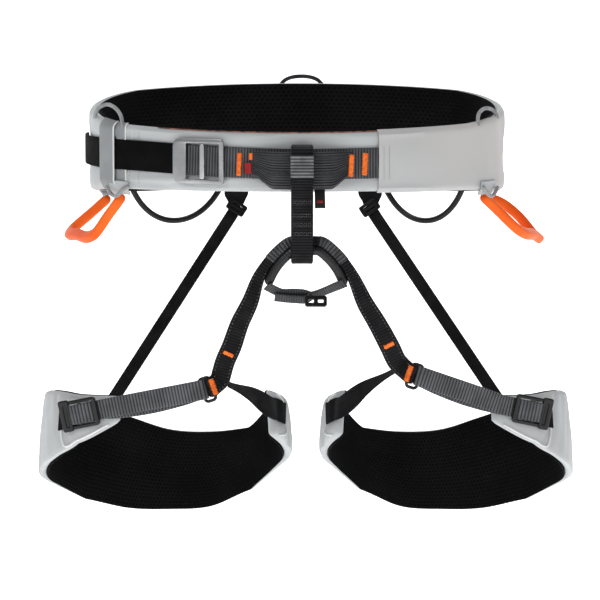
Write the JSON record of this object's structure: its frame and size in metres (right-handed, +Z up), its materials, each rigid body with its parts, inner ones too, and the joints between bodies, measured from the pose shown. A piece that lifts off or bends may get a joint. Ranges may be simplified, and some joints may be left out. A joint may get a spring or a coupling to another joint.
{
  "type": "climbing harness",
  "caption": "Padded sit harness: waist belt with a sliding-bar buckle, belay loop, webbing bridge, gear loops and two padded leg loops on elastic risers",
  "frame": {"origin": "middle of the waist opening, at the height of the waist webbing", "axes": "+Z up, the wearer looks along -Y, +X is towards the wearer's left"},
  "size_m": [0.4276, 0.2479, 0.3529],
  "materials": {
    "shell_fabric": "laminated woven polyester, matte",
    "foam_core": "closed-cell foam inside the shell",
    "lining_mesh": "black spacer mesh",
    "black_webbing": "woven polyamide webbing",
    "ribbed_webbing": "ribbed polyester webbing",
    "grey_trim": "woven tape",
    "grey_cord": "braided cord",
    "label_fabric": "blank satin label",
    "red_tab_fabric": "blank woven tab",
    "orange_plastic": "satin moulded plastic",
    "black_plastic": "satin moulded plastic",
    "brushed_aluminium": "brushed",
    "black_aluminium": "black anodised",
    "elastic_band": "knitted elastic"
  },
  "bodies": {
    "waist": {"waist_shell": "shell_fabric", "waist_foam": "foam_core", "waist_lining": "lining_mesh", "waist_side_panel": "shell_fabric", "waist_webbing": "ribbed_webbing", "waist_buckle_frame": "brushed_aluminium", "tail_keeper": "grey_trim", "tie_in_band": "black_webbing", "belay_loop_top": "black_webbing", "size_label": "label_fabric", "side_tab": "red_tab_fabric", "top_bow_right": "grey_cord", "top_bow_left": "grey_cord", "bottom_bow_right": "grey_cord", "bottom_bow_left": "grey_cord", "gear_anchor_front_right": "grey_trim", "gear_anchor_front_left": "grey_trim", "gear_anchor_back_right": "grey_trim", "gear_anchor_back_left": "grey_trim", "riser_tab_right": "black_webbing", "riser_tab_left": "black_webbing"},
    "waist_slider": {"waist_buckle_slider": "brushed_aluminium"},
    "haul_loop": {"haul_loop": "black_webbing"},
    "belay_loop": {"belay_loop": "black_webbing"},
    "bridge": {"bridge_webbing": "black_webbing", "bridge_protector": "black_plastic", "cross_strap_right": "ribbed_webbing", "cross_strap_left": "ribbed_webbing", "cross_strap_buckle": "black_plastic", "ring_right": "black_aluminium", "ring_left": "black_aluminium"},
    "front_loop_right": {"front_gear_loop_right": "orange_plastic"},
    "rear_loop_right": {"rear_gear_loop_right": "black_plastic"},
    "leg_right": {"leg_shell_right": "shell_fabric", "leg_foam_right": "foam_core", "leg_lining_right": "lining_mesh", "leg_strap_right": "ribbed_webbing", "leg_buckle_frame_right": "black_aluminium", "leg_buckle_tab_right": "black_webbing", "inner_strap_right": "black_webbing", "riser_anchor_right": "black_webbing"},
    "leg_slider_right": {"leg_buckle_slider_right": "black_aluminium"},
    "riser_buckle_right": {"riser_buckle_right": "black_plastic"},
    "riser_right": {"riser_strap_right": "elastic_band"},
    "riser_end_right": {"riser_strap_end_right": "elastic_band"},
    "front_loop_left": {"front_gear_loop_left": "orange_plastic"},
    "rear_loop_left": {"rear_gear_loop_left": "black_plastic"},
    "leg_left": {"leg_shell_left": "shell_fabric", "leg_foam_left": "foam_core", "leg_lining_left": "lining_mesh", "leg_strap_left": "ribbed_webbing", "leg_buckle_frame_left": "black_aluminium", "leg_buckle_tab_left": "black_webbing", "inner_strap_left": "black_webbing", "riser_anchor_left": "black_webbing"},
    "leg_slider_left": {"leg_buckle_slider_left": "black_aluminium"},
    "riser_buckle_left": {"riser_buckle_left": "black_plastic"},
    "riser_left": {"riser_strap_left": "elastic_band"},
    "riser_end_left": {"riser_strap_end_left": "elastic_band"}
  },
  "joints": [
    {"name": "belay_swing", "type": "hinge", "parent": "waist", "child": "belay_loop", "pos_m": [0.004, -0.1236, -0.022], "axis": [1, 0, 0], "range_deg": [-6.5, 6.5]},
    {"name": "bridge_swing", "type": "hinge", "parent": "belay_loop", "child": "bridge", "pos_m": [0.007, -0.1236, -0.066], "axis": [1, 0, 0], "range_deg": [-6.5, 6.5]},
    {"name": "waist_slider_slide", "type": "slide", "parent": "waist", "child": "waist_slider", "axis": [0.9373, -0.3486, 0], "range_m": [0, 0.001]},
    {"name": "haul_hinge", "type": "hinge", "parent": "waist", "child": "haul_loop", "pos_m": [0.0036, 0.1139, 0.024], "axis": [-1, 0, 0], "range_deg": [0, 150], "stiffness_Nm_per_rad": 0.01, "springref_deg": -11.46},
    {"name": "leg_right_swing", "type": "hinge", "parent": "bridge", "child": "leg_right", "pos_m": [-0.0697, -0.095, -0.1794], "axis": [-1, 0, 0], "range_deg": [0, 9.5], "stiffness_Nm_per_rad": 0.8, "springref_deg": -20.05},
    {"name": "leg_slider_right_slide", "type": "slide", "parent": "leg_right", "child": "leg_slider_right", "axis": [0.8883, -0.3955, 0.2334], "range_m": [0, 0.004]},
    {"name": "riser_right_hang", "type": "hinge", "parent": "waist", "child": "riser_buckle_right", "pos_m": [-0.05, 0.10603, -0.058], "axis": [1, 0, 0], "range_deg": [-3, 3]},
    {"name": "riser_right_swing", "type": "hinge", "parent": "riser_buckle_right", "child": "riser_right", "pos_m": [-0.05347, 0.10452, -0.06329], "axis": [1, 0, 0], "range_deg": [-3, 3]},
    {"name": "riser_right_stretch", "type": "slide", "parent": "riser_right", "child": "riser_end_right", "axis": [0, -0.2741, -0.9617], "range_m": [0, 0.035]},
    {"name": "front_loop_right_hinge", "type": "hinge", "parent": "waist", "child": "front_loop_right", "pos_m": [-0.13557, -0.05755, -0.03259], "axis": [-0.1642, 0.9809, -0.1042], "range_deg": [-30, 25], "stiffness_Nm_per_rad": 0.12},
    {"name": "rear_loop_right_hinge", "type": "hinge", "parent": "waist", "child": "rear_loop_right", "pos_m": [-0.13806, 0.06679, -0.024], "axis": [0.8865, 0.4627, 0], "range_deg": [0, 80]},
    {"name": "leg_left_swing", "type": "hinge", "parent": "bridge", "child": "leg_left", "pos_m": [0.0915, -0.095, -0.169], "axis": [-1, 0, 0], "range_deg": [0, 9.5], "stiffness_Nm_per_rad": 0.8, "springref_deg": -20.05},
    {"name": "leg_slider_left_slide", "type": "slide", "parent": "leg_left", "child": "leg_slider_left", "axis": [-0.8883, -0.3955, 0.2334], "range_m": [0, 0.004]},
    {"name": "riser_left_hang", "type": "hinge", "parent": "waist", "child": "riser_buckle_left", "pos_m": [0.06, 0.10334, -0.058], "axis": [1, 0, 0], "range_deg": [-3, 3]},
    {"name": "riser_left_swing", "type": "hinge", "parent": "riser_buckle_left", "child": "riser_left", "pos_m": [0.06358, 0.10194, -0.06324], "axis": [1, 0, 0], "range_deg": [-3, 3]},
    {"name": "riser_left_stretch", "type": "slide", "parent": "riser_left", "child": "riser_end_left", "axis": [0, -0.2585, -0.966], "range_m": [0, 0.035]},
    {"name": "front_loop_left_hinge", "type": "hinge", "parent": "waist", "child": "front_loop_left", "pos_m": [0.14472, -0.04702, -0.0337], "axis": [-0.0607, -0.9926, 0.1055], "range_deg": [-30, 25], "stiffness_Nm_per_rad": 0.12},
    {"name": "rear_loop_left_hinge", "type": "hinge", "parent": "waist", "child": "rear_loop_left", "pos_m": [0.13806, 0.06679, -0.024], "axis": [0.8749, -0.4843, 0], "range_deg": [0, 80]}
  ],
  "couplings": [
    {"joint": "bridge_swing", "follows": "belay_swing", "ratio": -1},
    {"joint": "riser_right_hang", "follows": "belay_swing", "ratio": 0.2856},
    {"joint": "riser_right_swing", "follows": "leg_right_swing", "ratio": 0.02},
    {"joint": "riser_right_stretch", "follows": "leg_right_swing", "m_per_rad": 0.1603},
    {"joint": "riser_left_hang", "follows": "belay_swing", "ratio": 0.2856},
    {"joint": "riser_left_swing", "follows": "leg_left_swing", "ratio": -0.0696},
    {"joint": "riser_left_stretch", "follows": "leg_left_swing", "m_per_rad": 0.1623}
  ]
}
